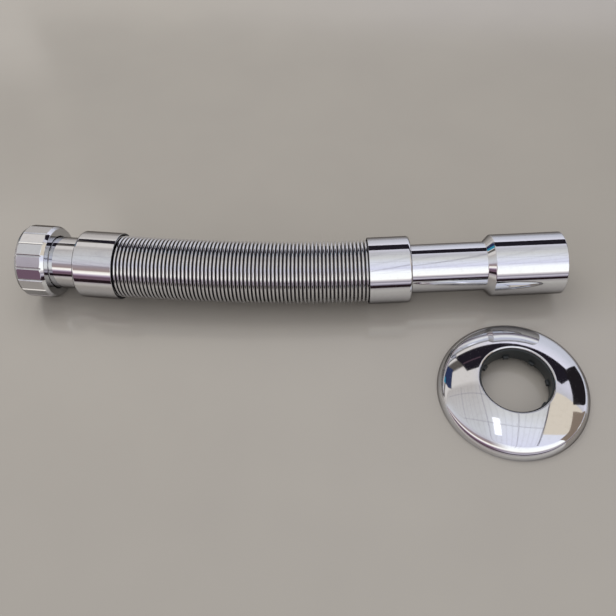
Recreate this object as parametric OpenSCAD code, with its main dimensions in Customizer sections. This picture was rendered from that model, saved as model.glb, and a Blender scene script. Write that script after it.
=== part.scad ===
// Flexible chrome waste pipe: union nut and necked ferrule at the inlet, metal bellows,
// ferrule and stepped tail at the outlet, and the wall rosette that lies beside it.
// The inlet axis runs along +X from the origin, which is the centre of the inlet seal face.

/* [Inlet union nut] */
// Radius of the inlet thread's bore, at the crests of the thread
thread_r = 19.48; // [18.8:0.02:20.2]
// Length of thread from the nut's mouth to the seal face
thread_len = 12; // [9:0.5:16]
// Thickness from the thread's bore to the nut's flats
nut_wall = 4.62; // [3.8:0.02:6]
// Number of flats round the nut
nut_flats = 18; // [14:1:22]
// Radius of the groove along each corner of the nut
nut_groove_r = 0.8; // [0.4:0.1:1]
// Length of the chamfer at each end of the nut
nut_chamfer = 2.6; // [1:0.1:3.2]
// Thickness of the nut's end wall round the neck
nut_end_wall = 3; // [2:0.1:4]
// Thickness of the flat inlet washer
washer_t = 3; // [2:0.1:4]

/* [Inlet neck and ferrule] */
// Step from the neck's outside up to its flange
flange_step = 1.88; // [1.5:0.02:2.6]
// Length of neck that shows between the nut and the ferrule
neck_show = 18; // [10:0.1:30]
// Thickness of the neck's flange inside the nut
flange_t = 2; // [1.5:0.1:3]
// Length of the inlet ferrule
inlet_ferrule_len = 26.9; // [22:0.1:40]
// Wall of the inlet ferrule round the bellows
inlet_ferrule_wall = 1.45; // [1:0.05:2]

/* [Bellows] */
// Outer radius of the bellows over its rings
ring_r = 20.65; // [19.9:0.05:22]
// Radius inside the bellows, under the valleys between rings
bore_r = 16.9; // [16.2:0.1:17.2]
// Distance from one ring to the next
ring_pitch = 2.49; // [2.3:0.01:3]
// Width of one ring along the pipe
ring_w = 1.68; // [1.4:0.02:1.9]
// Wall of the bellows
bellows_wall = 0.4; // [0.3:0.05:0.5]
// Number of rings between the two ferrules
ring_count = 66; // [36:6:90]
// Bend of the bellows as it lies, seen from above
bow_angle = 8; // [0:1:14]

/* [Outlet ferrule and tail] */
// Length of the outlet ferrule
outlet_ferrule_len = 27.1; // [22:0.1:40]
// Wall of the outlet ferrule round the bellows
outlet_ferrule_wall = 1; // [0.8:0.05:1.6]
// Outer radius of the thin tail
tail_r = 16; // [15:0.1:16.4]
// Length of thin tail between the ferrule and the flare
tail_len = 48.5; // [20:0.1:90]
// Outer radius of the wide spigot at the outlet end
spigot_r = 20.3; // [19:0.1:21]
// Length of the wide spigot
spigot_len = 45.1; // [30:0.1:70]
// Wall of the neck, the tail and the spigot
tube_wall = 1; // [0.8:0.1:1.5]

/* [Wall rosette] */
// Outer radius of the rosette
rosette_r = 45.8; // [40:0.1:60]
// Height of the rosette above the wall face
rosette_h = 15; // [12:0.1:22]
// Radius of the roll round the rosette's edge
rosette_roll_r = 10; // [6:0.1:11]
// Radius of the dome's section, between the roll and the hole
rosette_dome_r = 64; // [50:1:120]
// Thickness of the rosette's metal
rosette_t = 0.8; // [0.6:0.1:1.2]
// Room between the spigot and the rosette's collar
rosette_room = 1.5; // [1.2:0.1:3]
// Depth of the collar and its grip ring below the rosette's top
collar_depth = 10.5; // [6:0.1:12]
// Number of claws round the grip ring
claw_count = 8; // [4:1:12]
// Place of the rosette from the inlet seal face, along the pipe and to its side
rosette_place = [311.1, -56.8];

/* [Fits] */
// Running gap between pieces that move on each other
run_gap = 0.3; // [0.2:0.05:0.4]

/* [Hidden] */
$fn = 96;

chrome = [0.80, 0.81, 0.83];
rubber = [0.09, 0.09, 0.10];
grip_plastic = [0.20, 0.21, 0.22];

// Stations along the inlet axis
flange_x = washer_t;
nut_shoulder_x = flange_x + flange_t + run_gap;
nut_back_x = nut_shoulder_x + nut_end_wall;
inlet_ferrule_x = nut_back_x + neck_show;
inlet_mouth_x = inlet_ferrule_x + inlet_ferrule_len;

// Radii that follow from the fits
nut_flat_r = thread_r + nut_wall;
nut_corner_r = nut_flat_r / cos(180 / nut_flats);
in_nut_r = thread_r - run_gap;
neck_r = in_nut_r - flange_step;
neck_in = neck_r - tube_wall;
cup_r = ring_r + run_gap;
inlet_ferrule_r = cup_r + inlet_ferrule_wall;
outlet_ferrule_r = cup_r + outlet_ferrule_wall;
nipple_gap = 0.4;
nipple_r = bore_r - nipple_gap;
nipple_in = nipple_r - tube_wall;
valley_r = bore_r + bellows_wall;
rosette_hole_r = spigot_r + rosette_room;

// Ferrules: end wall, rounding of the closed end and seat of the seal in the open end
cup_end_wall = 2;
cup_round_r = 1.8;
seal_seat = 1.5;
mouth_edge = 0.4;
nipple_short = 6;

// Bellows: arc seen from above, and the step down from the nut's height to the ferrule's
bellows_len = ring_count * ring_pitch;
rings_hidden = 2;
rings_per_piece = 5;
ring_total = ring_count + 2 * rings_hidden;
piece_count = ceil(ring_total / rings_per_piece);
table_z = -nut_flat_r;
drop = nut_flat_r - outlet_ferrule_r;
crest_r = ring_w / 2;
crest_steps = 6;
bridge_t = bellows_wall * 0.6;

// Tail stations from the outlet ferrule's mouth
flare_x = outlet_ferrule_len + tail_len;
spigot_x = flare_x + spigot_r - tail_r;
tail_end_x = spigot_x + spigot_len;
lip_r = 0.8;

// Grip ring
grip_t = 1;
grip_inset = 0.8;
claw_reach = 1.5;
claw_w = 4.4;
claw_h = 2.8;
claw_start = 11.5;

// Points of an arc about [r, x], from angle a0 to a1, as [r, x] pairs
function arc_points(r, x, radius, a0, a1, steps) =
    [for (i = [0:steps]) let (a = a0 + (a1 - a0) * i / steps) [r + radius * cos(a), x + radius * sin(a)]];

// Place and heading on the bellows' centreline at distance s from the inlet ferrule's mouth
function share(s) = min(max(s / bellows_len, 0), 1);
function heading(s) = bow_angle * share(s);
function dip(s) = atan(drop * 6 * share(s) * (1 - share(s)) / bellows_len);
function chord(s, a) = a == 0 ? s : 2 * s / (a * PI / 180) * sin(a / 2);
function centre(s) =
    let (t = share(s), on = t * bellows_len, over = s - on, a = heading(s), c = chord(on, a))
    [inlet_mouth_x + c * cos(a / 2) + over * cos(a), c * sin(a / 2) + over * sin(a),
     -drop * t * t * (3 - 2 * t)];

// A turned piece along X, from [r, x] points
module turned(points) {
    rotate([0, 90, 0]) rotate_extrude() polygon(points);
}

module at_centre(s) {
    translate(centre(s)) rotate([0, dip(s), heading(s)]) children();
}

module at_outlet() {
    at_centre(bellows_len) children();
}

// A ring pipe of plain section between two stations
module plain_tube(outer, inner, x0, x1) {
    turned([[inner, x0], [outer, x0], [outer, x1], [inner, x1]]);
}

// Flats with chamfered ends and a groove on each corner, resting on one flat
module union_nut() {
    chamfer_in = nut_chamfer * 0.6;
    mouth_cut = 1;
    thread_relief = 0.5;
    color(chrome) difference() {
        intersection() {
            turned([
                [0, -thread_len],
                [nut_corner_r - chamfer_in, -thread_len],
                [nut_corner_r, nut_chamfer - thread_len],
                [nut_corner_r, nut_back_x - nut_chamfer],
                [nut_corner_r - chamfer_in, nut_back_x],
                [0, nut_back_x]
            ]);
            translate([-thread_len - 1, 0, 0]) rotate([0, 90, 0])
                linear_extrude(thread_len + nut_back_x + 2)
                    polygon([for (i = [0:nut_flats - 1]) let (a = (i + 0.5) * 360 / nut_flats)
                        nut_corner_r * [cos(a), sin(a)]]);
        }
        turned([
            [0, -thread_len - 1],
            [thread_r + mouth_cut + 1, -thread_len - 1],
            [thread_r, mouth_cut - thread_len],
            [thread_r, 0],
            [thread_r + thread_relief, 0],
            [thread_r + thread_relief, nut_shoulder_x],
            [neck_r + run_gap, nut_shoulder_x],
            [neck_r + run_gap, nut_back_x + 1],
            [0, nut_back_x + 1]
        ]);
        for (i = [0:nut_flats - 1])
            rotate([(i + 0.5) * 360 / nut_flats, 0, 0])
                translate([-thread_len - 1, 0, -nut_corner_r - nut_groove_r * 0.35])
                    rotate([0, 90, 0]) cylinder(r = nut_groove_r, h = thread_len + nut_back_x + 2, $fn = 24);
    }
}

module inlet_washer() {
    color(rubber) plain_tube(in_nut_r, neck_in, 0, washer_t);
}

// Flanged neck, stepped down to the nipple inside the bellows
module inlet_neck() {
    step_x = inlet_ferrule_x + cup_end_wall;
    color(chrome) turned([
        [neck_in, flange_x],
        [in_nut_r, flange_x],
        [in_nut_r, flange_x + flange_t],
        [neck_r, flange_x + flange_t],
        [neck_r, step_x],
        [nipple_r, step_x],
        [nipple_r, inlet_mouth_x - nipple_short],
        [nipple_in, inlet_mouth_x - nipple_short],
        [nipple_in, step_x + cup_end_wall],
        [neck_in, step_x - cup_end_wall]
    ]);
}

// A cup along +X, open at x = 0 with a seat for its seal, closed at x = len round a tube
module ferrule_cup(outer, hole, len) {
    turned(concat(
        [[cup_r, seal_seat], [outer - mouth_edge, seal_seat], [outer - mouth_edge, 0], [outer, 0]],
        arc_points(outer - cup_round_r, len - cup_round_r, cup_round_r, 0, 90, 5),
        [[hole, len], [hole, len - cup_end_wall], [cup_r, len - cup_end_wall]]
    ));
}

// A seal ring seated in the ferrule's mouth, flush with its edge
module seal_ring(outer) {
    plain_tube(outer - mouth_edge, cup_r, 0, seal_seat);
}

module inlet_ferrule() {
    color(chrome) translate([inlet_mouth_x, 0, 0]) mirror([1, 0, 0])
        ferrule_cup(inlet_ferrule_r, neck_r, inlet_ferrule_len);
}

module inlet_seal() {
    color(rubber) translate([inlet_mouth_x, 0, 0]) mirror([1, 0, 0])
        seal_ring(inlet_ferrule_r);
}

// Corrugated wall of n rings centred on the origin: outside first, then back along the inside
module bellows_piece(n) {
    first = -(n - 1) / 2 * ring_pitch;
    last = -first;
    top = ring_r - crest_r;
    outside = [for (i = [0:n - 1]) let (x = first + i * ring_pitch) each concat(
        [[i == 0 ? bore_r : valley_r, x - crest_r]],
        [for (k = [0:crest_steps]) let (a = 180 - 180 * k / crest_steps)
            [top + crest_r * sin(a), x + crest_r * cos(a)]],
        [[i == n - 1 ? bore_r : valley_r, x + crest_r]])];
    in_r = crest_r - bellows_wall;
    inside = [for (i = [0:n - 1]) let (x = last - i * ring_pitch) each concat(
        [[bore_r, x + in_r]],
        [for (k = [0:crest_steps / 2]) let (a = 180 * k / (crest_steps / 2))
            [top + in_r * sin(a), x + in_r * cos(a)]],
        [[bore_r, x - in_r]])];
    turned(concat(outside, inside));
}

// Rings in short straight pieces along the bowed centreline, bridged at the valleys,
// with a plain cuff at each end that reaches the bottom of its ferrule
module bellows() {
    step = ring_pitch * rings_per_piece;
    start = -rings_hidden * ring_pitch;
    valley_w = ring_pitch - ring_w;
    bridge_in = bore_r + (bellows_wall - bridge_t) / 2;
    inlet_cuff = inlet_ferrule_len - cup_end_wall - run_gap + start;
    outlet_cuff = outlet_ferrule_len - cup_end_wall - run_gap + start;
    color(chrome) union() {
        for (k = [0:piece_count - 1]) {
            n = min(rings_per_piece, ring_total - k * rings_per_piece);
            at_centre(start + k * step + n * ring_pitch / 2) bellows_piece(n);
        }
        for (k = [1:piece_count - 1])
            at_centre(start + k * step)
                plain_tube(bridge_in + bridge_t, bridge_in,
                    -(valley_w + bellows_wall) / 2, (valley_w + bellows_wall) / 2);
        at_centre(start)
            plain_tube(bridge_in + bridge_t, bridge_in, -inlet_cuff, (valley_w + bellows_wall) / 2);
        at_centre(start + ring_total * ring_pitch)
            plain_tube(bridge_in + bridge_t, bridge_in, -(valley_w + bellows_wall) / 2, outlet_cuff);
    }
}

module outlet_seal() {
    color(rubber) at_outlet() seal_ring(outlet_ferrule_r);
}

module outlet_ferrule() {
    color(chrome) at_outlet() ferrule_cup(outlet_ferrule_r, tail_r, outlet_ferrule_len);
}

// Nipple, thin tail, flare and wide spigot in one drawn tube
module outlet_tail() {
    wall_x = outlet_ferrule_len - cup_end_wall;
    tail_in = tail_r - tube_wall;
    spigot_in = spigot_r - tube_wall;
    color(chrome) at_outlet() turned(concat(
        [[tail_in, nipple_short], [nipple_r, nipple_short], [nipple_r, wall_x], [tail_r, wall_x],
         [tail_r, flare_x], [spigot_r, spigot_x]],
        arc_points(spigot_r - lip_r, tail_end_x - lip_r, lip_r, 0, 90, 4),
        [[spigot_in, tail_end_x], [spigot_in, spigot_x + tube_wall * 0.4],
         [tail_in, flare_x + tube_wall * 0.4]]
    ));
}

module at_rosette() {
    translate([rosette_place[0], rosette_place[1], table_z]) children();
}

// Centre of the dome's section, tangent inside to the roll and to the bend at the hole
function dome_centre(roll, bend, bend_r) =
    let (gap = bend - roll, d = norm(gap), u = gap / d,
         p = rosette_dome_r - rosette_roll_r, q = rosette_dome_r - bend_r,
         a = (p * p - q * q + d * d) / (2 * d), h = sqrt(p * p - a * a))
    roll + a * u - h * [u[1], -u[0]];

function angle_from(a, b) = atan2(b[1] - a[1], b[0] - a[0]);

// One face of the shell as points, from the floor over the dome to the hole, cut back by t
function shell_face(t, steps) =
    let (bend_r = 1,
         roll = [rosette_r - rosette_roll_r, 0],
         bend = [rosette_hole_r + bend_r, rosette_h - bend_r],
         dome = dome_centre(roll, bend, bend_r),
         steep = angle_from(dome, roll), flat = angle_from(dome, bend))
    concat(arc_points(roll[0], roll[1], rosette_roll_r - t, 0, steep, steps),
           [for (i = [1:3]) let (a = steep + (flat - steep) * i / 4)
               [dome[0] + (rosette_dome_r - t) * cos(a), dome[1] + (rosette_dome_r - t) * sin(a)]],
           arc_points(bend[0], bend[1], bend_r - t, flat, 180, 4));

// Spun shell: rolled edge, shallow dome and a collar turned down round the pipe
module rosette() {
    z0 = rosette_h - collar_depth;
    inner = shell_face(rosette_t, 6);
    color(chrome) at_rosette() rotate_extrude() polygon(concat(
        shell_face(0, 8),
        [[rosette_hole_r, z0], [rosette_hole_r + rosette_t, z0]],
        [for (i = [len(inner) - 1:-1:0]) inner[i]]));
}

// Plastic ring in the collar, with claws that grip the pipe
module rosette_grip_ring() {
    grip_in = rosette_hole_r - grip_t;
    z0 = rosette_h - collar_depth;
    color(grip_plastic) at_rosette() union() {
        rotate_extrude() polygon([
            [grip_in, z0 - grip_inset], [rosette_hole_r + rosette_t, z0 - grip_inset],
            [rosette_hole_r + rosette_t, z0], [rosette_hole_r, z0],
            [rosette_hole_r, rosette_h - 2 * grip_inset], [grip_in, rosette_h - 2 * grip_inset]]);
        for (i = [0:claw_count - 1])
            rotate([0, 0, claw_start + i * 360 / claw_count])
                translate([grip_in - claw_reach, -claw_w / 2, z0 - grip_inset / 2])
                    cube([claw_reach + grip_t / 2, claw_w, claw_h]);
    }
}

union_nut();
inlet_washer();
inlet_neck();
inlet_ferrule();
inlet_seal();
bellows();
outlet_seal();
outlet_ferrule();
outlet_tail();
rosette();
rosette_grip_ring();
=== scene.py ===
import math

import bmesh
import bpy
from bpy.props import FloatProperty, FloatVectorProperty, IntProperty, PointerProperty
from bpy.types import Operator, Panel, PropertyGroup
from mathutils import Matrix, Vector


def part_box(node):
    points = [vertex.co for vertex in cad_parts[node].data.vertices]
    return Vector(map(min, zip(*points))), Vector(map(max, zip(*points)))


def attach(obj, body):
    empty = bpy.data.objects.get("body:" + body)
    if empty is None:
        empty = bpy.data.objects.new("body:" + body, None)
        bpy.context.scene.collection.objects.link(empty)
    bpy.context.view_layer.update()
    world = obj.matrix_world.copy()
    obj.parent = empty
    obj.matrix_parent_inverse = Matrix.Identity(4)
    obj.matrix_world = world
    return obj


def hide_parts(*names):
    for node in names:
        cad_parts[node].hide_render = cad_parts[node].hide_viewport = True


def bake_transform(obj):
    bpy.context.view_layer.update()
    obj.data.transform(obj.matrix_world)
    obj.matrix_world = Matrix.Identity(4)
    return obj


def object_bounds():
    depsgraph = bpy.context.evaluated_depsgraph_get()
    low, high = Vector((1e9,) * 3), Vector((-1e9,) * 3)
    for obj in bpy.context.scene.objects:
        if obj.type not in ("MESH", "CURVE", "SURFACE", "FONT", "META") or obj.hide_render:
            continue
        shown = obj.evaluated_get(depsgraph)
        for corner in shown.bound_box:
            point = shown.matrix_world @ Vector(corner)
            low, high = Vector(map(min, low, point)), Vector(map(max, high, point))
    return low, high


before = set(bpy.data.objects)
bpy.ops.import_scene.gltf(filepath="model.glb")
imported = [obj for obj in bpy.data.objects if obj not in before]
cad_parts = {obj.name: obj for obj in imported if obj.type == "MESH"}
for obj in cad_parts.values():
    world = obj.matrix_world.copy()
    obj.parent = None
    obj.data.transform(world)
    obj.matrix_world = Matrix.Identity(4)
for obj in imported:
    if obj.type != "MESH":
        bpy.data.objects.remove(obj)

bl_info = {
    "name": "Flexible waste pipe",
    "version": (1, 0, 0),
    "blender": (4, 5, 0),
    "location": "View3D > Sidebar > Waste Pipe",
    "description": "Bright metal flexible waste pipe with its union nut, bellows, tail and wall rosette",
    "category": "Object",
}

MM = 0.001
CAD_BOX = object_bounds()
FLOOR_Z = CAD_BOX[0].z
INLET_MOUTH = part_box("inlet_ferrule")[1].x
INLET_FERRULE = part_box("inlet_ferrule")[0].x
ROUND = 128


def colour(code):
    """A linear colour from an sRGB hex value."""
    parts = [int(code[i:i + 2], 16) / 255 for i in (1, 3, 5)]
    return [p / 12.92 if p <= 0.04045 else ((p + 0.055) / 1.055) ** 2.4 for p in parts] + [1.0]


class BellowsSizes(PropertyGroup):
    ring_radius: FloatProperty(name="Ring radius", description="Outer radius over the rings",
                               default=20.65 * MM, unit="LENGTH")
    valley_radius: FloatProperty(name="Valley radius", description="Radius at the bottom of the grooves",
                                 default=17.3 * MM, unit="LENGTH")
    bore_radius: FloatProperty(name="Bore radius", description="Radius inside, under the valleys",
                               default=16.9 * MM, unit="LENGTH")
    pitch: FloatProperty(name="Pitch", description="Distance from one ring to the next",
                         default=2.49 * MM, unit="LENGTH")
    ring_width: FloatProperty(name="Ring width", description="Width of one ring along the pipe",
                              default=1.68 * MM, unit="LENGTH")
    rings: IntProperty(name="Rings", description="Rings between the two ferrules", default=66, min=12, max=120)
    bow: FloatProperty(name="Bow", description="Bend of the bellows as it lies, seen from above",
                       default=math.radians(8), unit="ROTATION")
    drop: FloatProperty(name="Drop", description="Fall from the nut's axis to the outlet ferrule's axis",
                        default=2.15 * MM, unit="LENGTH")


class TubeSizes(PropertyGroup):
    neck_radius: FloatProperty(name="Neck radius", description="Outer radius of the inlet neck",
                               default=17.3 * MM, unit="LENGTH")
    tail_radius: FloatProperty(name="Tail radius", description="Outer radius of the thin tail",
                               default=16.0 * MM, unit="LENGTH")
    spigot_radius: FloatProperty(name="Spigot radius", description="Outer radius of the wide spigot",
                                 default=20.3 * MM, unit="LENGTH")
    wall: FloatProperty(name="Wall", description="Wall of the plain tubes", default=1.0 * MM, unit="LENGTH")
    tail_length: FloatProperty(name="Tail length", description="Length of thin tail that shows",
                               default=48.5 * MM, unit="LENGTH")
    spigot_length: FloatProperty(name="Spigot length", description="Length of the wide spigot",
                                 default=45.1 * MM, unit="LENGTH")
    inlet_ferrule: FloatProperty(name="Inlet ferrule", description="Length of the inlet ferrule",
                                 default=26.9 * MM, unit="LENGTH")
    outlet_ferrule: FloatProperty(name="Outlet ferrule", description="Length of the outlet ferrule",
                                  default=27.1 * MM, unit="LENGTH")
    flats: IntProperty(name="Nut flats", description="Flats round the union nut", default=18, min=12, max=24)


class Finishes(PropertyGroup):
    chrome: FloatVectorProperty(name="Chrome", description="Colour of the polished chrome plate",
                                subtype="COLOR", size=4, min=0, max=1, default=colour("#DCDDE0"))
    rings: FloatVectorProperty(name="Rings", description="Colour of the rolled bellows metal",
                               subtype="COLOR", size=4, min=0, max=1, default=colour("#D9D9DB"))
    # Painted shade: the bellows' colour darkens towards this tone down in the grooves
    groove: FloatVectorProperty(name="Grooves", description="Colour deep between the rings",
                                subtype="COLOR", size=4, min=0, max=1, default=colour("#6E6A6B"))
    rubber: FloatVectorProperty(name="Rubber", description="Colour of the moulded seals",
                                subtype="COLOR", size=4, min=0, max=1, default=colour("#151517"))
    grip: FloatVectorProperty(name="Grip ring", description="Colour of the rosette's moulded grip ring",
                              subtype="COLOR", size=4, min=0, max=1, default=colour("#1E2224"))
    table: FloatVectorProperty(name="Table", description="Colour of the pale table top",
                               subtype="COLOR", size=4, min=0, max=1, default=colour("#B3ADA4"))


# Materials

def node(tree, kind, inputs=None, **settings):
    """Adds a node with its settings; an input is a value or the socket that feeds it."""
    made = tree.nodes.new(kind)
    for key, value in settings.items():
        setattr(made, key, value)
    for key, value in (inputs or {}).items():
        if isinstance(value, bpy.types.NodeSocket):
            tree.links.new(value, made.inputs[key])
        else:
            made.inputs[key].default_value = value
    return made


def new_material(name):
    material = bpy.data.materials.new(name)
    material.use_nodes = True
    material.node_tree.nodes.clear()
    return material, material.node_tree


def finished(tree, shader):
    node(tree, "ShaderNodeOutputMaterial", {"Surface": shader})


def polished_chrome(name, tone, drawn_along):
    """Chrome plate on polished brass: mirror bright, with a slow roll of the polishing wheel,
    faint draw marks along the tube and a thin film of dust that dulls it in spots."""
    material, tree = new_material(name)
    place = node(tree, "ShaderNodeTexCoord").outputs["Object"]
    # 9 mm swells left by the wheel, 0.35 mm draw marks and 2.5 mm dust spots
    swell = node(tree, "ShaderNodeTexNoise", {"Vector": place, "Scale": 1 / (9 * MM), "Detail": 1.0})
    stretched = node(tree, "ShaderNodeMapping", {"Vector": place, "Scale": drawn_along})
    marks = node(tree, "ShaderNodeTexNoise", {"Vector": stretched.outputs[0], "Scale": 1 / (0.35 * MM),
                                              "Detail": 2.0, "Roughness": 0.6})
    dust = node(tree, "ShaderNodeTexNoise", {"Vector": place, "Scale": 1 / (2.5 * MM), "Detail": 4.0})
    film = node(tree, "ShaderNodeMapRange", {"Value": dust.outputs[0], "From Min": 0.35, "From Max": 0.75,
                                             "To Min": 0.035, "To Max": 0.085})
    shade = node(tree, "ShaderNodeMapRange", {"Value": dust.outputs[0], "From Min": 0.5, "From Max": 0.8,
                                              "To Min": 0.0, "To Max": 0.12})
    tint = node(tree, "ShaderNodeMix", {"Factor": shade.outputs[0], "A": tone, "B": colour("#B9B4AE")},
                data_type="RGBA")
    tree.links.new(shade.outputs[0], tint.inputs["Factor"])
    roll = node(tree, "ShaderNodeBump", {"Height": swell.outputs[0], "Strength": 0.5, "Distance": 0.012 * MM})
    fine = node(tree, "ShaderNodeBump", {"Height": marks.outputs[0], "Strength": 0.25, "Distance": 0.004 * MM,
                                         "Normal": roll.outputs[0]})
    shader = node(tree, "ShaderNodeBsdfPrincipled", {"Metallic": 1.0, "Base Color": tint.outputs[2],
                                                     "Specular Tint": colour("#8C8886"),
                                                     "Roughness": film.outputs[0], "Normal": fine.outputs[0]})
    finished(tree, shader.outputs[0])
    return material


def rolled_bellows_metal(name, tone, deep):
    """Thin bright metal rolled into rings: crests burnished by the rollers, the grooves duller, and painted
    shade in the grooves: their colour darkens towards the groove tone with depth."""
    material, tree = new_material(name)
    place = node(tree, "ShaderNodeTexCoord").outputs["Object"]
    depth = node(tree, "ShaderNodeAttribute", attribute_name="groove").outputs["Fac"]
    # 0.5 mm roller marks and 6 mm patches of stain
    marks = node(tree, "ShaderNodeTexNoise", {"Vector": place, "Scale": 1 / (0.5 * MM), "Detail": 3.0})
    stain = node(tree, "ShaderNodeTexNoise", {"Vector": place, "Scale": 1 / (6 * MM), "Detail": 2.0})
    # Painted shade: the deeper in a groove, the nearer the colour runs to the dark groove tone, on top of the
    # random stain patches
    amount = node(tree, "ShaderNodeMapRange", {"Value": depth, "From Min": 0.12, "From Max": 0.8})
    painted_groove_shade = node(tree, "ShaderNodeMath", {0: amount.outputs[0], 1: 0.92}, operation="MULTIPLY")
    stains_and_groove_shade = node(tree, "ShaderNodeMath", {0: stain.outputs[0], 1: 0.12, 2: painted_groove_shade.outputs[0]},
                   operation="MULTIPLY_ADD", use_clamp=True)
    tint = node(tree, "ShaderNodeMix", {"Factor": stains_and_groove_shade.outputs[0], "A": tone, "B": deep}, data_type="RGBA")
    dull = node(tree, "ShaderNodeMath", {0: depth, 1: 0.25, 2: 0.07}, operation="MULTIPLY_ADD")
    rough = node(tree, "ShaderNodeMath", {0: marks.outputs[0], 1: 0.06, 2: dull.outputs[0]},
                 operation="MULTIPLY_ADD")
    bump = node(tree, "ShaderNodeBump", {"Height": marks.outputs[0], "Strength": 0.3, "Distance": 0.01 * MM})
    shader = node(tree, "ShaderNodeBsdfPrincipled", {"Metallic": 1.0, "Base Color": tint.outputs[2],
                                                     "Roughness": rough.outputs[0],
                                                     "Normal": bump.outputs[0]})
    finished(tree, shader.outputs[0])
    return material


def moulded_rubber(name, tone):
    """Black moulded rubber: deep black, softly dull, with a fine skin and greyish bloom."""
    material, tree = new_material(name)
    place = node(tree, "ShaderNodeTexCoord").outputs["Object"]
    skin = node(tree, "ShaderNodeTexNoise", {"Vector": place, "Scale": 1 / (0.25 * MM), "Detail": 3.0})
    bloom = node(tree, "ShaderNodeTexNoise", {"Vector": place, "Scale": 1 / (4 * MM), "Detail": 3.0})
    tint = node(tree, "ShaderNodeMix", {"Factor": bloom.outputs[0], "A": tone, "B": colour("#26262A")},
                data_type="RGBA")
    rough = node(tree, "ShaderNodeMapRange", {"Value": bloom.outputs[0], "To Min": 0.42, "To Max": 0.62})
    bump = node(tree, "ShaderNodeBump", {"Height": skin.outputs[0], "Strength": 0.35, "Distance": 0.02 * MM})
    shader = node(tree, "ShaderNodeBsdfPrincipled", {"Base Color": tint.outputs[2], "IOR": 1.52,
                                                     "Roughness": rough.outputs[0], "Normal": bump.outputs[0]})
    finished(tree, shader.outputs[0])
    return material


def moulded_grip_plastic(name, tone):
    """Dark polypropylene, injection moulded: a satin skin with a fine sparked texture."""
    material, tree = new_material(name)
    place = node(tree, "ShaderNodeTexCoord").outputs["Object"]
    spark = node(tree, "ShaderNodeTexVoronoi", {"Vector": place, "Scale": 1 / (0.3 * MM)})
    flow = node(tree, "ShaderNodeTexNoise", {"Vector": place, "Scale": 1 / (5 * MM), "Detail": 2.0})
    tint = node(tree, "ShaderNodeMix", {"Factor": flow.outputs[0], "A": tone, "B": colour("#2C3133")},
                data_type="RGBA")
    rough = node(tree, "ShaderNodeMapRange", {"Value": flow.outputs[0], "To Min": 0.3, "To Max": 0.46})
    bump = node(tree, "ShaderNodeBump", {"Height": spark.outputs[0], "Strength": 0.3, "Distance": 0.012 * MM})
    shader = node(tree, "ShaderNodeBsdfPrincipled", {"Base Color": tint.outputs[2], "IOR": 1.49,
                                                     "Roughness": rough.outputs[0], "Normal": bump.outputs[0]})
    finished(tree, shader.outputs[0])
    return material


def satin_table_top(name, tone):
    """Pale lacquered table top: even warm grey with a soft sheen. In front of y = -0.16 m, glossy rays see a
    painted dark reflection instead: a dark emission that only mirrors see, as if the table ended there."""
    material, tree = new_material(name)
    place = node(tree, "ShaderNodeTexCoord").outputs["Object"]
    cloud = node(tree, "ShaderNodeTexNoise", {"Vector": place, "Scale": 1 / (60 * MM), "Detail": 2.0})
    tint = node(tree, "ShaderNodeMix", {"Factor": cloud.outputs[0], "A": tone, "B": colour("#ADA79F")},
                data_type="RGBA")
    shader = node(tree, "ShaderNodeBsdfPrincipled", {"Base Color": tint.outputs[2], "Roughness": 0.13,
                                                     "Specular IOR Level": 0.7})
    # Painted reflection: from about y = -0.16 m forwards, glossy rays see a dark emission (#2A1E22) in place of the
    # table
    row = node(tree, "ShaderNodeSeparateXYZ", {"Vector": place}).outputs["Y"]
    painted_reflection_area = node(tree, "ShaderNodeMapRange", {"Value": row, "From Min": -0.17, "From Max": -0.15,
                                               "To Min": 1.0, "To Max": 0.0})
    mirrored = node(tree, "ShaderNodeLightPath").outputs["Is Glossy Ray"]
    share = node(tree, "ShaderNodeMath", {0: painted_reflection_area.outputs[0], 1: mirrored}, operation="MULTIPLY")
    dark = node(tree, "ShaderNodeEmission", {"Color": colour("#2A1E22")})
    mix = node(tree, "ShaderNodeMixShader", {0: share.outputs[0], 1: shader.outputs[0], 2: dark.outputs[0]})
    finished(tree, mix.outputs[0])
    return material


# Shapes

def along_pipe(s):
    """Place and heading on the bellows' centreline, s from the inlet ferrule's mouth."""
    sizes = bpy.context.scene.waste_bellows
    length = sizes.rings * sizes.pitch
    t = min(max(s / length, 0.0), 1.0)
    a = sizes.bow * t
    chord = t * length if a == 0 else 2 * t * length / a * math.sin(a / 2)
    over = s - t * length
    place = Vector((INLET_MOUTH + chord * math.cos(a / 2) + over * math.cos(a),
                    chord * math.sin(a / 2) + over * math.sin(a),
                    -sizes.drop * t * t * (3 - 2 * t)))
    dip = math.atan(sizes.drop * 6 * t * (1 - t) / length)
    return Matrix.Translation(place) @ Matrix.Rotation(a, 4, "Z") @ Matrix.Rotation(dip, 4, "Y")


def at_outlet():
    sizes = bpy.context.scene.waste_bellows
    return along_pipe(sizes.rings * sizes.pitch)


def rounded_outline(bm, corners, segments=5):
    """A closed outline of (x, radius, rounding) corners in the X-Z plane."""
    verts = [bm.verts.new((x, 0, r)) for x, r, _ in corners]
    bm.faces.new(verts)
    for vert, (_, _, rounding) in zip(verts, corners):
        if rounding:
            bmesh.ops.bevel(bm, geom=[vert], offset=rounding, offset_type="OFFSET", affect="VERTICES",
                            segments=segments, profile=0.5, material=-1)
    bmesh.ops.delete(bm, geom=bm.faces[:], context="FACES_ONLY")


def full_turn(bm, steps=ROUND, axis=(1, 0, 0)):
    bmesh.ops.spin(bm, geom=bm.verts[:] + bm.edges[:], cent=(0, 0, 0), axis=axis, dvec=(0, 0, 0),
                   angle=2 * math.pi, steps=steps, use_merge=True)
    bmesh.ops.remove_doubles(bm, verts=bm.verts[:], dist=1e-7)
    bmesh.ops.recalc_face_normals(bm, faces=bm.faces[:])


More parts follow.
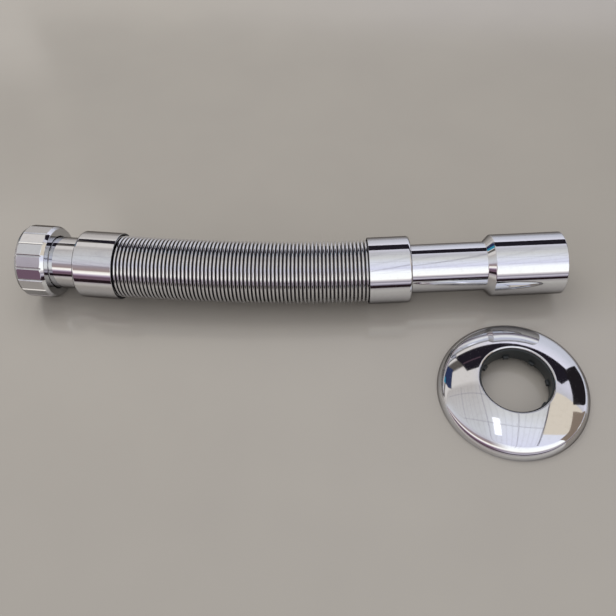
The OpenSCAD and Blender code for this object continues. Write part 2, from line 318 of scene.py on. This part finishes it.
def piece(name, bm, material, place=Matrix.Identity(4), weighted=True, sharp=40):
    bmesh.ops.transform(bm, matrix=place, verts=bm.verts[:])
    for face in bm.faces:
        face.smooth = True
    mesh = bpy.data.meshes.new(name)
    bm.to_mesh(mesh)
    bm.free()
    mesh.set_sharp_from_angle(angle=math.radians(sharp))
    mesh.materials.append(material)
    made = bpy.data.objects.new(name, mesh)
    bpy.context.scene.collection.objects.link(made)
    if weighted:
        made.modifiers.new("even_shading", "WEIGHTED_NORMAL").keep_sharp = True
    return made


def chrome(name="polished_chrome_plate", drawn_along=(0.05, 1, 1)):
    found = bpy.data.materials.get(name)
    return found or polished_chrome(name, bpy.context.scene.waste_finishes.chrome, drawn_along)


def seal_rubber():
    found = bpy.data.materials.get("moulded_black_rubber")
    return found or moulded_rubber("moulded_black_rubber", bpy.context.scene.waste_finishes.rubber)


class WASTE_OT_union_nut(Operator):
    """Makes the union nut: flats with a groove at each corner, turned chamfers and the thread"""
    bl_idname = "waste.union_nut"
    bl_label = "Union nut"

    def execute(self, context):
        flats = context.scene.waste_tubes.flats
        low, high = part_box("union_nut")
        flat_r = -low.z
        corner_r = flat_r / math.cos(math.pi / flats)
        chamfer = 2.6 * MM
        bm = bmesh.new()
        bmesh.ops.create_circle(bm, segments=flats, radius=corner_r)
        bmesh.ops.rotate(bm, verts=bm.verts[:], cent=(0, 0, 0),
                         matrix=Matrix.Rotation(math.pi / 2, 3, "Y"))
        turn = Matrix.Rotation(math.pi / flats - math.pi / 2, 3, "X")
        bmesh.ops.rotate(bm, verts=bm.verts[:], cent=(0, 0, 0), matrix=turn)
        for vert in bm.verts:
            if abs(vert.co.z + flat_r) < 1e-5:
                break
        else:
            bmesh.ops.rotate(bm, verts=bm.verts[:], cent=(0, 0, 0),
                             matrix=Matrix.Rotation(math.pi / flats, 3, "X"))
        bm.faces.new(bm.verts[:])
        bmesh.ops.bevel(bm, geom=bm.verts[:], offset=0.8 * MM, offset_type="OFFSET", affect="VERTICES",
                        segments=1, profile=0.5, material=-1)
        short = [e for e in bm.edges if e.calc_length() < 2 * MM]
        cut = bmesh.ops.subdivide_edges(bm, edges=short, cuts=1)
        floor_of_groove = [v for v in cut["geom_inner"] if isinstance(v, bmesh.types.BMVert)]
        bmesh.ops.scale(bm, verts=floor_of_groove, vec=(1, 1 - 0.7 * MM / corner_r, 1 - 0.7 * MM / corner_r))
        long = [e for e in bm.edges if e.calc_length() > 2 * MM]
        bmesh.ops.subdivide_edges(bm, edges=long, cuts=4)
        bmesh.ops.delete(bm, geom=bm.faces[:], context="FACES_ONLY")
        outline = {v: math.hypot(v.co.y, v.co.z) for v in bm.verts}
        radii = list(outline.values())
        loop = list(bm.verts)
        end_r = flat_r - 1.3 * MM
        # Stations of the wall: along the outside, then back through the bore and its thread
        stations = [("rim", low.x, end_r), ("chamfer", low.x, end_r), ("chamfer", high.x, end_r),
                    ("rim", high.x, end_r), ("bore", high.x, 18.0 * MM),
                    ("bore", high.x - 0.4 * MM, 17.6 * MM), ("bore", 5.3 * MM, 17.6 * MM),
                    ("bore", 5.3 * MM, 19.98 * MM), ("bore", 0.2 * MM, 19.98 * MM)]
        pitch = 2.309 * MM
        for turn_no in range(4):
            x = -0.3 * MM - turn_no * pitch
            stations += [("bore", x, 19.5 * MM), ("bore", x - 0.35 * MM, 19.5 * MM),
                         ("bore", x - 1.0 * MM, 20.7 * MM), ("bore", x - 1.35 * MM, 20.7 * MM)]
        stations += [("bore", -9.6 * MM, 19.5 * MM), ("bore", -11.0 * MM, 19.5 * MM),
                     ("bore", low.x, 20.5 * MM)]

        def put(verts, kind, x, r):
            middle = (low.x + high.x) / 2
            for vert, full in zip(verts, radii):
                keep = min(r, full) if kind == "rim" else full if kind == "chamfer" else r
                spread = math.hypot(vert.co.y, vert.co.z)
                vert.co.y *= keep / spread
                vert.co.z *= keep / spread
                back = max(full - r, 0) * chamfer / (corner_r - r) if kind == "chamfer" else 0
                vert.co.x = x + (back if x < middle else -back)

        put(loop, *stations[0])
        edges = bm.edges[:]
        for station in stations[1:]:
            out = bmesh.ops.extrude_edge_only(bm, edges=edges)["geom"]
            fresh = [g for g in out if isinstance(g, bmesh.types.BMVert)]
            edges = [g for g in out if isinstance(g, bmesh.types.BMEdge)
                     and all(v in set(fresh) for v in g.verts)]
            partner = {}
            for vert in fresh:
                for edge in vert.link_edges:
                    other = edge.other_vert(vert)
                    if other in loop:
                        partner[other] = vert
            loop = [partner[v] for v in loop]
            put(loop, *station)
        rims = [e for e in bm.edges if e.is_boundary]
        bmesh.ops.bridge_loops(bm, edges=rims)
        bmesh.ops.recalc_face_normals(bm, faces=bm.faces[:])
        nut = piece("union_nut_chrome", bm, chrome(), weighted=False, sharp=32)
        edge = nut.modifiers.new("broken_edges", "BEVEL")
        edge.width, edge.segments, edge.limit_method = 0.18 * MM, 2, "ANGLE"
        edge.angle_limit = math.radians(30)
        nut.modifiers.new("even_shading", "WEIGHTED_NORMAL").keep_sharp = True
        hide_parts("union_nut")
        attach(nut, "nut")
        return {"FINISHED"}


class WASTE_OT_inlet_neck(Operator):
    """Makes the flanged inlet neck and the washer on its face"""
    bl_idname = "waste.inlet_neck"
    bl_label = "Inlet neck and washer"

    def execute(self, context):
        sizes = context.scene.waste_tubes
        neck, wall = sizes.neck_radius, sizes.wall
        nipple = 16.5 * MM
        bore, throat = neck - wall, nipple - wall
        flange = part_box("inlet_washer")[1].z
        step = INLET_FERRULE + 2 * MM
        end = INLET_MOUTH - 6 * MM
        bm = bmesh.new()
        rounded_outline(bm, [(3 * MM, bore, 0.3 * MM), (3 * MM, flange, 0.4 * MM),
                             (5 * MM, flange, 0.4 * MM), (5 * MM, neck, 0), (step, neck, 0),
                             (step, nipple, 0), (end, nipple, 0.3 * MM), (end, throat, 0.2 * MM),
                             (step + 2 * MM, throat, 0.5 * MM), (step - 2 * MM, bore, 0.5 * MM)])
        full_turn(bm)
        tube = piece("inlet_neck_chrome", bm, chrome())
        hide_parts("inlet_neck")
        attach(tube, "inlet")
        bm = bmesh.new()
        rounded_outline(bm, [(0, bore, 0.3 * MM), (0, flange, 0.5 * MM),
                             (3 * MM, flange, 0.5 * MM), (3 * MM, bore, 0.3 * MM)], 3)
        full_turn(bm)
        washer = piece("inlet_washer_rubber", bm, seal_rubber())
        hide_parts("inlet_washer")
        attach(washer, "inlet")
        return {"FINISHED"}


class WASTE_OT_ferrules(Operator):
    """Makes the two drawn ferrules over the bellows' ends and the black ring in each mouth"""
    bl_idname = "waste.ferrules"
    bl_label = "Ferrules and seals"

    def execute(self, context):
        sizes = context.scene.waste_tubes
        cup = context.scene.waste_bellows.ring_radius + 0.3 * MM
        facing = Matrix.Translation((INLET_MOUTH, 0, 0)) @ Matrix.Rotation(math.pi, 4, "Z")
        for end, length, outer, hole, place, body in (
                ("inlet", sizes.inlet_ferrule, cup + 1.45 * MM, sizes.neck_radius, facing, "inlet"),
                ("outlet", sizes.outlet_ferrule, cup + 1.0 * MM, sizes.tail_radius, at_outlet(), "outlet")):
            bm = bmesh.new()
            seat = outer - 0.4 * MM
            rounded_outline(bm, [(1.5 * MM, cup, 0), (1.5 * MM, seat, 0), (0, seat, 0),
                                 (0, outer, 0.2 * MM), (length, outer, 1.8 * MM), (length, hole, 0.15 * MM),
                                 (length - 2 * MM, hole, 0), (length - 2 * MM, cup, 0.8 * MM)])
            full_turn(bm)
            ferrule = piece(end + "_ferrule_chrome", bm, chrome(), place)
            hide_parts(end + "_ferrule")
            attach(ferrule, body)
            bm = bmesh.new()
            rounded_outline(bm, [(1.5 * MM, cup, 0), (1.5 * MM, seat, 0), (0, seat, 0.15 * MM),
                                 (0, cup, 0.2 * MM)], 4)
            full_turn(bm)
            seal = piece(end + "_seal_rubber", bm, seal_rubber(), place)
            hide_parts(end + "_seal")
            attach(seal, body)
        return {"FINISHED"}


class WASTE_OT_bellows(Operator):
    """Makes the corrugated middle in two halves"""
    bl_idname = "waste.bellows"
    bl_label = "Bellows"

    def ring_wire(self, bm, sizes, start):
        """One ring's outside and inside as two open wires, from the groove's middle to the next."""
        top, foot, bore = sizes.ring_radius, sizes.valley_radius, sizes.bore_radius
        half_gap = (sizes.pitch - sizes.ring_width) / 2
        wall = foot - bore
        left, right = start + half_gap, start + sizes.pitch - half_gap
        end = start + sizes.pitch
        outside = [bm.verts.new(p) for p in (
            (start, 0, foot), (left, 0, foot), (left, 0, top), (right, 0, top), (right, 0, foot), (end, 0, foot))]
        inside = [bm.verts.new(p) for p in (
            (end, 0, bore), (right - wall, 0, bore), (right - wall, 0, top - wall),
            (left + wall, 0, top - wall), (left + wall, 0, bore), (start, 0, bore))]
        bm.faces.new(outside + inside)
        bmesh.ops.bevel(bm, geom=outside[2:4], offset=sizes.ring_width / 2 * 0.98, offset_type="OFFSET",
                        affect="VERTICES", segments=5, profile=0.5, material=-1)
        feet = [v for v in bm.verts if abs(v.co.z - foot) < 1e-7 and left - 1e-7 < v.co.x < right + 1e-7]
        bmesh.ops.bevel(bm, geom=feet, offset=half_gap * 0.9, offset_type="OFFSET",
                        affect="VERTICES", segments=2, profile=0.5, material=-1)
        bmesh.ops.delete(bm, geom=bm.faces[:], context="FACES_ONLY")
        ends = [e for e in bm.edges if abs(e.verts[0].co.x - e.verts[1].co.x) < 1e-7
                and min(abs(e.verts[0].co.x - start), abs(e.verts[0].co.x - end)) < 1e-7]
        bmesh.ops.delete(bm, geom=ends, context="EDGES")

    def execute(self, context):
        sizes = context.scene.waste_bellows
        tubes = context.scene.waste_tubes
        hidden = 2
        half = (sizes.rings + 2 * hidden) // 2
        length = sizes.rings * sizes.pitch
        cuff_in = tubes.inlet_ferrule - 2.3 * MM
        cuff_out = tubes.outlet_ferrule - 2.3 * MM
        finish = context.scene.waste_finishes
        # finish.groove is the tone of the painted shade down in the grooves
        metal = rolled_bellows_metal("rolled_bright_bellows_metal", finish.rings, finish.groove)
        for name, first, cuff, a, b in (("bellows_inlet_half", -hidden * sizes.pitch, -cuff_in, "inlet", "bellows"),
                                        ("bellows_outlet_half", length / 2, cuff_out, "bellows", "outlet")):
            bm = bmesh.new()
            self.ring_wire(bm, sizes, 0.0)
            wire = bm.verts[:] + bm.edges[:]
            for i in range(1, half):
                copy = bmesh.ops.duplicate(bm, geom=wire)["geom"]
                bmesh.ops.translate(bm, vec=(i * sizes.pitch, 0, 0),
                                    verts=[g for g in copy if isinstance(g, bmesh.types.BMVert)])
            bmesh.ops.remove_doubles(bm, verts=bm.verts[:], dist=1e-6)
            bmesh.ops.translate(bm, vec=(first, 0, 0), verts=bm.verts[:])
            last = first + half * sizes.pitch
            # The plain cuff inside the ferrule
            root, reach = (first, cuff) if cuff < 0 else (last, length + cuff)
            tips = [v for v in bm.verts if abs(v.co.x - root) < 1e-7]
            out = bmesh.ops.extrude_vert_indiv(bm, verts=tips)["verts"]
            for vert in out:
                vert.co.x = reach
            bmesh.ops.spin(bm, geom=bm.verts[:] + bm.edges[:], cent=(0, 0, 0), axis=(1, 0, 0), dvec=(0, 0, 0),
                           angle=2 * math.pi, steps=96, use_merge=True)
            bmesh.ops.remove_doubles(bm, verts=bm.verts[:], dist=1e-7)
            rims = [e for e in bm.edges if e.is_boundary]
            for x in (min(v.co.x for v in bm.verts), max(v.co.x for v in bm.verts)):
                bmesh.ops.bridge_loops(bm, edges=[e for e in rims if abs(e.verts[0].co.x - x) < 1e-6])
            bmesh.ops.recalc_face_normals(bm, faces=bm.faces[:])
            groove = bm.verts.layers.float.new("groove")
            spread = sizes.ring_radius - sizes.valley_radius
            for vert in bm.verts:
                r = math.hypot(vert.co.y, vert.co.z)
                vert[groove] = min(max((sizes.ring_radius - r) / spread, 0.0), 1.0)
                place = along_pipe(vert.co.x)
                vert.co = place @ Vector((0, vert.co.y, vert.co.z))
            made = piece(name, bm, metal, weighted=False, sharp=80)
            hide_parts("bellows")
            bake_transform(made)
        return {"FINISHED"}


class WASTE_OT_outlet_tail(Operator):
    """Makes the thin tail, its flare and the wide spigot as one drawn tube"""
    bl_idname = "waste.outlet_tail"
    bl_label = "Outlet tail"

    def execute(self, context):
        sizes = context.scene.waste_tubes
        thin, wide, wall = sizes.tail_radius, sizes.spigot_radius, sizes.wall
        start = sizes.outlet_ferrule - 2 * MM
        flare = sizes.outlet_ferrule + sizes.tail_length
        spigot = flare + wide - thin
        end = spigot + sizes.spigot_length
        nipple = 16.5 * MM
        bm = bmesh.new()
        rounded_outline(bm, [(6 * MM, thin - wall, 0.2 * MM), (6 * MM, nipple, 0.3 * MM), (start, nipple, 0),
                             (start, thin, 0), (flare, thin, 0.3 * MM), (spigot, wide, 0.4 * MM),
                             (end, wide, 0.6 * MM), (end, wide - wall, 0.3 * MM),
                             (spigot + 0.4 * wall, wide - wall, 1.0 * MM),
                             (flare + 0.4 * wall, thin - wall, 1.0 * MM)])
        full_turn(bm)
        tube = piece("outlet_tail_chrome", bm, chrome(), at_outlet())
        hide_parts("outlet_tail")
        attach(tube, "outlet")
        return {"FINISHED"}


class WASTE_OT_rosette(Operator):
    """Spins the wall rosette: rolled edge, domed face, turned collar, and its grip ring with claws"""
    bl_idname = "waste.rosette"
    bl_label = "Rosette and grip ring"

    def shell_wire(self, bm, thick, side):
        """The shell's outer face as a wire, or its inner face at the metal's thickness."""
        low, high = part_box("rosette")
        radius, height = (high.x - low.x) / 2, high.z - low.z
        roll, dome, bend, hole = 10 * MM, 64 * MM, 1.0 * MM, 21.8 * MM
        roll_at = Vector((radius - roll, 0, 0))
        bend_at = Vector((hole + bend, 0, height - bend))
        gap = bend_at - roll_at
        a = ((dome - roll) ** 2 - (dome - bend) ** 2 + gap.length ** 2) / (2 * gap.length)
        h = math.sqrt((dome - roll) ** 2 - a * a)
        u = gap.normalized()
        dome_at = roll_at + a * u - h * Vector((u.z, 0, -u.x))
        steep = math.atan2(roll_at.z - dome_at.z, roll_at.x - dome_at.x)
        flat = math.atan2(bend_at.z - dome_at.z, bend_at.x - dome_at.x)
        vert = bm.verts.new((radius - side * thick, 0, 0))
        for centre, angle, steps in ((roll_at, steep, 18), (dome_at, flat - steep, 16),
                                     (bend_at, math.pi - flat, 10)):
            out = bmesh.ops.spin(bm, geom=[vert], cent=centre, axis=(0, -1, 0), dvec=(0, 0, 0),
                                 angle=angle, steps=steps, use_merge=False)
            vert = [g for g in out["geom_last"] if isinstance(g, bmesh.types.BMVert)][0]
        down = bmesh.ops.extrude_vert_indiv(bm, verts=[vert])["verts"][0]
        down.co.z = height - 10.5 * MM
        return down

    def execute(self, context):
        low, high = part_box("rosette")
        place = Matrix.Translation(((low.x + high.x) / 2, (low.y + high.y) / 2, low.z))
        thick = 0.8 * MM
        bm = bmesh.new()
        outer_tip = self.shell_wire(bm, thick, 0)
        inner_tip = self.shell_wire(bm, thick, 1)
        bm.edges.new((outer_tip, inner_tip))
        rims = [v for v in bm.verts if len(v.link_edges) == 1]
        bm.edges.new(rims)
        full_turn(bm, 160, (0, 0, 1))
        shell = piece("rosette_chrome", bm, chrome("spun_chrome_plate", (1, 1, 0.3)), place)
        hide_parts("rosette")
        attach(shell, "inlet")

        ring_low, ring_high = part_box("rosette_grip_ring")
        hole = 21.8 * MM
        inside = hole - 1.0 * MM
        foot, top = ring_low.z - low.z, ring_high.z - low.z
        bm = bmesh.new()
        corners = [(inside, foot, 0.2 * MM), (hole + thick, foot, 0.2 * MM),
                   (hole + thick, foot + 0.8 * MM, 0), (hole, foot + 0.8 * MM, 0),
                   (hole, top, 0.2 * MM), (inside, top, 0.35 * MM)]
        rounded_outline(bm, [(z, r, rounding) for r, z, rounding in corners], 3)
        bmesh.ops.rotate(bm, verts=bm.verts[:], cent=(0, 0, 0), matrix=Matrix(((0, 0, 1), (0, 1, 0), (1, 0, 0))))
        full_turn(bm, 128, (0, 0, 1))
        claws = 8
        for i in range(claws):
            size = Vector((2.0, 4.4, 2.8)) * MM
            made = bmesh.ops.create_cube(bm, size=1.0)["verts"]
            bmesh.ops.scale(bm, verts=made, vec=size)
            tapered = [v for v in made if v.co.x < 0]
            bmesh.ops.scale(bm, verts=tapered, vec=(1, 0.7, 0.75))
            bmesh.ops.translate(bm, verts=made, vec=(inside - 0.5 * MM, 0, foot + 0.4 * MM + size.z / 2))
            bmesh.ops.rotate(bm, verts=made, cent=(0, 0, 0),
                             matrix=Matrix.Rotation(math.radians(11.5) + i * 2 * math.pi / claws, 3, "Z"))
            edges = list({e for v in made for e in v.link_edges})
            bmesh.ops.bevel(bm, geom=edges, offset=0.25 * MM, offset_type="OFFSET", affect="EDGES",
                            segments=2, profile=0.5, material=-1)
        grip = moulded_grip_plastic("moulded_dark_polypropylene", context.scene.waste_finishes.grip)
        ring = piece("rosette_grip_ring_plastic", bm, grip, place, weighted=False)
        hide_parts("rosette_grip_ring")
        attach(ring, "inlet")
        return {"FINISHED"}


class WASTE_OT_stage(Operator):
    """Lays the pale table top and sets the soft light, the room that the metal mirrors and the camera"""
    bl_idname = "waste.stage"
    bl_label = "Stage, light and camera"

    def execute(self, context):
        scene = context.scene
        bm = bmesh.new()
        bmesh.ops.create_grid(bm, x_segments=1, y_segments=1, size=3.0)
        table = piece("table_top", bm, satin_table_top("satin_table_top", scene.waste_finishes.table),
                      Matrix.Translation((0.16, 0, FLOOR_Z)), weighted=False)
        self.room(scene)
        lamp = bpy.data.lights.new("overhead_softbox", "AREA")
        lamp.shape, lamp.size, lamp.size_y, lamp.energy = "RECTANGLE", 0.9, 0.6, 3.0
        lamp.specular_factor = 0.0
        soft = bpy.data.objects.new("overhead_softbox", lamp)
        soft.location = (0.0, 0.35, 0.9)
        soft.visible_glossy = False
        soft.rotation_euler = (Vector((0.16, 0, 0)) - soft.location).to_track_quat("-Z", "Y").to_euler()
        scene.collection.objects.link(soft)

        lens = bpy.data.cameras.new("photo_camera")
        lens.sensor_width = 36
        lens.lens = 36 * 656.84 / 616
        lens.clip_start, lens.clip_end = 0.01, 20
        camera = bpy.data.objects.new("photo_camera", lens)
        right = Vector((0.9916897, 0.11972678, -0.04708545))
        up = Vector((-0.07198604, 0.81972213, 0.56821971))
        back = Vector((0.1066281, -0.56010814, 0.82152865))
        turn = Matrix((right, up, back)).transposed()
        camera.matrix_world = Matrix.Translation((0.22599, -0.25669, 0.34271)) @ turn.to_4x4()
        scene.collection.objects.link(camera)
        scene.camera = camera
        scene.view_settings.view_transform = "Standard"
        return {"FINISHED"}

    def room(self, scene):
        """A plain bright room for the metal to mirror: panelled ceiling with a lamp, bright windows in
        front, a dark shelf behind. The light on matt surfaces and the background stay even."""
        world = bpy.data.worlds.new("bright_room")
        scene.world = world
        world.use_nodes = True
        tree = world.node_tree
        tree.nodes.clear()
        look = node(tree, "ShaderNodeTexCoord").outputs["Generated"]
        warp = node(tree, "ShaderNodeTexNoise", {"Vector": look, "Scale": 1.6, "Detail": 1.0})
        axes = node(tree, "ShaderNodeSeparateXYZ", {"Vector": look}).outputs

        def maths(operation, *values):
            return node(tree, "ShaderNodeMath", dict(enumerate(values)), operation=operation).outputs[0]

        def within(value, low, high):
            return maths("COMPARE", value, (low + high) / 2, (high - low) / 2)

        def bands(turn, stops):
            ramp = node(tree, "ShaderNodeValToRGB", {"Fac": turn})
            while len(ramp.color_ramp.elements) < len(stops):
                ramp.color_ramp.elements.new(0.5)
            for element, (degrees, code) in zip(ramp.color_ramp.elements, stops):
                element.position = degrees / 180
                element.color = colour(code)
            return ramp.outputs[0]

        def over(base, code, *masks, share=1.0):
            cover = share
            for mask in masks:
                cover = maths("MULTIPLY", mask, cover)
            return node(tree, "ShaderNodeMix", {"Factor": cover, "A": base, "B": colour(code)},
                        data_type="RGBA").outputs[2]

        # How far a look is lifted from straight ahead, over the ceiling, to straight behind
        lift = maths("ARCTAN2", axes["Z"], maths("MULTIPLY", axes["Y"], -1.0))
        wave = maths("MULTIPLY_ADD", warp.outputs[0], 0.08, lift)
        turn = maths("MULTIPLY_ADD", wave, 1 / math.pi, -0.04 / math.pi)
        left = bands(turn, [(0, "#6A5560"), (9, "#66505F"), (14, "#A593A6"), (21, "#FFFAF4"), (27, "#E9E3DA"),
                            (31, "#94827F"), (45, "#948A90"), (50, "#BFBCC4"), (70, "#C2C3C6"),
                            (112, "#B0ABA7"), (116, "#CAC5C1"), (131, "#CBC6C2"), (133, "#56514D"),
                            (142, "#56514D"), (145, "#D6D1CD"), (160, "#BCB7B3")])
        right = bands(turn, [(0, "#6F6874"), (6, "#C4BEC8"), (11, "#857F89"), (18, "#D0C9CA"), (22, "#FFFFFA"),
                             (46, "#FBFDFF"), (57, "#D6D7E8"), (78, "#D8DAE2"), (95, "#C9C9C8"),
                             (114, "#B6B5BA"), (124, "#C6C4CE"), (150, "#DAD8E4"), (166, "#C6C8D2")])
        to_right = node(tree, "ShaderNodeMapRange", {"Value": axes["X"], "From Min": -0.3, "From Max": 0.05})
        seen = node(tree, "ShaderNodeMix", {"Factor": to_right.outputs[0], "A": left, "B": right},
                    data_type="RGBA").outputs[2]
        # Across and along the ceiling, the wall behind, and the side walls
        across, along = maths("DIVIDE", axes["X"], axes["Z"]), maths("DIVIDE", axes["Y"], axes["Z"])
        behind, height = maths("DIVIDE", axes["X"], axes["Y"]), maths("DIVIDE", axes["Z"], axes["Y"])
        aside, rise = maths("DIVIDE", axes["Y"], axes["X"]), maths("DIVIDE", axes["Z"], axes["X"])
        above = maths("GREATER_THAN", axes["Z"], 0.02)
        backward = maths("GREATER_THAN", axes["Y"], 0.02)
        rightward = maths("GREATER_THAN", axes["X"], 0.02)
        leftward = maths("LESS_THAN", axes["X"], -0.02)
        ceiling = maths("MULTIPLY", above, within(along, -1.1, 0.42))
        for value, gap, share in ((across, 0.41, 0.5), (along, 0.46, 0.5), (across, 0.082, 0.18)):
            line = maths("LESS_THAN", maths("FLOORED_MODULO", maths("ADD", value, 8.0), gap), 0.014)
            seen = over(seen, "#7C7884", line, ceiling, within(across, -1.6, 0.59), share=share)
        seen = over(seen, "#CFC5B6", above, rightward, within(along, -0.3, 0.5), maths("GREATER_THAN", across, 0.6))
        seen = over(seen, "#4C4852", above, within(across, 0.585, 0.61), within(along, -0.6, 0.5))
        seen = over(seen, "#1D1A21", backward, within(behind, -0.64, 1.35), within(height, 0.63, 1.38))
        seen = over(seen, "#5A4650", backward, within(behind, -0.6, -0.2), within(height, 0.98, 1.01))
        seen = over(seen, "#1C191C", rightward, within(aside, 0.31, 0.95), within(rise, 0.19, 0.7))
        seen = over(seen, "#7E7064", rightward, within(aside, -0.45, 0.2), within(rise, 0.05, 0.7))
        seen = over(seen, "#2A3350", leftward, within(aside, -1.08, -0.5), within(rise, -1.1, -0.16))
        seen = over(seen, "#2E7F98", leftward, within(aside, -0.66, -0.5), within(rise, -0.55, -0.2))
        lamp = maths("MULTIPLY", within(across, -0.13, -0.03), within(along, -0.4, -0.07))
        glow = maths("MULTIPLY_ADD", maths("MULTIPLY", lamp, above), 1.6, 1.4)
        mirrored = node(tree, "ShaderNodeBackground", {"Color": seen, "Strength": glow})
        even = node(tree, "ShaderNodeBackground", {"Color": colour("#F4F4F6"), "Strength": 0.75})
        path = node(tree, "ShaderNodeLightPath").outputs
        mix = node(tree, "ShaderNodeMixShader", {0: path["Is Glossy Ray"], 1: even.outputs[0],
                                                 2: mirrored.outputs[0]})
        white = node(tree, "ShaderNodeBackground", {"Color": (1, 1, 1, 1), "Strength": 1.0})
        shown = node(tree, "ShaderNodeMixShader", {0: path["Is Camera Ray"], 1: mix.outputs[0],
                                                   2: white.outputs[0]})
        node(tree, "ShaderNodeOutputWorld", {"Surface": shown.outputs[0]})


class WASTE_PT_pieces(Panel):
    """The pieces of the waste pipe and the sizes they are made from"""
    bl_idname = "WASTE_PT_pieces"
    bl_label = "Waste pipe"
    bl_space_type = "VIEW_3D"
    bl_region_type = "UI"
    bl_category = "Waste Pipe"

    def draw(self, context):
        for maker in OPERATORS:
            self.layout.operator(maker.bl_idname)
        for group in (context.scene.waste_bellows, context.scene.waste_tubes, context.scene.waste_finishes):
            for key in group.__annotations__:
                self.layout.prop(group, key)


GROUPS = {"waste_bellows": BellowsSizes, "waste_tubes": TubeSizes, "waste_finishes": Finishes}
OPERATORS = (WASTE_OT_union_nut, WASTE_OT_inlet_neck, WASTE_OT_ferrules, WASTE_OT_bellows,
             WASTE_OT_outlet_tail, WASTE_OT_rosette, WASTE_OT_stage)


def register():
    for key, group in GROUPS.items():
        bpy.utils.register_class(group)
        setattr(bpy.types.Scene, key, PointerProperty(type=group))
    for kind in OPERATORS + (WASTE_PT_pieces,):
        bpy.utils.register_class(kind)


def unregister():
    for kind in reversed(OPERATORS + (WASTE_PT_pieces,)):
        bpy.utils.unregister_class(kind)
    for key, group in GROUPS.items():
        delattr(bpy.types.Scene, key)
        bpy.utils.unregister_class(group)


def main():
    register()
    bpy.ops.waste.stage()
    bpy.ops.waste.union_nut()
    bpy.ops.waste.inlet_neck()
    bpy.ops.waste.ferrules()
    bpy.ops.waste.bellows()
    bpy.ops.waste.outlet_tail()
    bpy.ops.waste.rosette()


if __name__ == "__main__":
    main()
